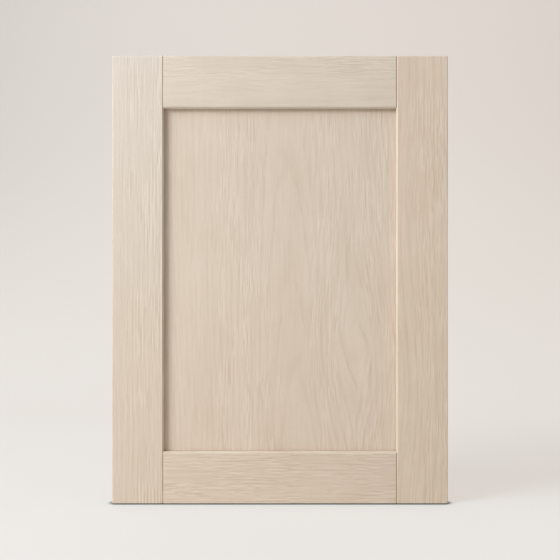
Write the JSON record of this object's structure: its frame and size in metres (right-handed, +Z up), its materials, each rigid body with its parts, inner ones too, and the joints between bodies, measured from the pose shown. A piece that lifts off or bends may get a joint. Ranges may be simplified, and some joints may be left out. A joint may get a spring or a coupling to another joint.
{
  "type": "kitchen cabinet door",
  "caption": "Framed kitchen cabinet door in pale oak: stiles and rails with V-grooved joints round a flat sunk panel, bored at the back for concealed cup hinges.",
  "frame": {"origin": "under the middle of the door's bottom edge, halfway through its thickness", "axes": "+Z up along the stiles, +Y from the front face to the back, +X to the right as seen from the front"},
  "size_m": [0.447, 0.02, 0.597],
  "materials": {
    "stile_oak": "matt clear lacquer over bleached oak, grain upright",
    "rail_oak": "matt clear lacquer over bleached oak, grain across",
    "panel_oak": "matt clear lacquer over bleached oak, flat-sawn figure upright",
    "spacer_rubber": "plain moulded rubber"
  },
  "bodies": {
    "root": {"stile_left": "stile_oak", "stile_right": "stile_oak", "rail_top": "rail_oak", "rail_bottom": "rail_oak", "panel": "panel_oak", "spacer_left_lower": "spacer_rubber", "spacer_left_upper": "spacer_rubber", "spacer_right_lower": "spacer_rubber", "spacer_right_upper": "spacer_rubber", "spacer_bottom_left": "spacer_rubber", "spacer_bottom_right": "spacer_rubber", "spacer_top_left": "spacer_rubber", "spacer_top_right": "spacer_rubber"}
  },
  "joints": []
}
